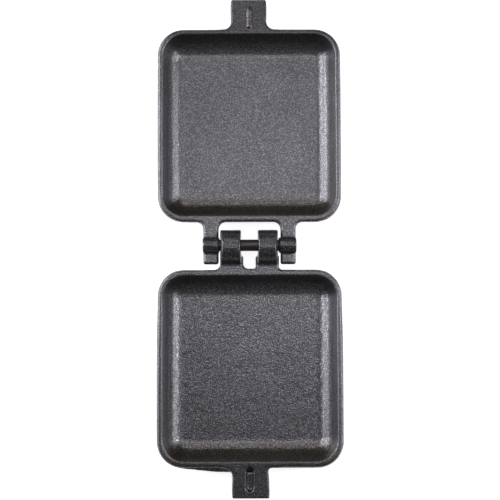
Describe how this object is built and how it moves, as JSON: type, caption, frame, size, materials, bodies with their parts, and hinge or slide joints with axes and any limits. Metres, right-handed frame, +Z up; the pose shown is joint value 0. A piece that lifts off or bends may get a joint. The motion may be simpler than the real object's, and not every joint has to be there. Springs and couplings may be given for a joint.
{
  "type": "pie iron head",
  "caption": "Square cast-iron pie iron head lying open: shallow pans hinged on a steel pin, each with a threaded socket for a handle rod.",
  "frame": {"origin": "on the surface the open iron lies on, under the middle of its whole length and width", "axes": "+X along the hinge pin, +Y from the hook half across the hinge to the pin half, +Z up out of the open pans"},
  "size_m": [0.1114, 0.3, 0.0287],
  "materials": {
    "seasoned_cast_iron": "sand cast, oiled black, fine grain",
    "dark_steel": "oil blackened rod, satin"
  },
  "bodies": {
    "pin_half": {"pin_half": "seasoned_cast_iron", "hinge_pin": "dark_steel"},
    "hook_half": {"hook_half": "seasoned_cast_iron"}
  },
  "joints": [
    {"name": "fold", "type": "hinge", "parent": "pin_half", "child": "hook_half", "pos_m": [0, 0.0004, 0.01915], "axis": [-1, 0, 0], "range_deg": [0, 180]}
  ]
}
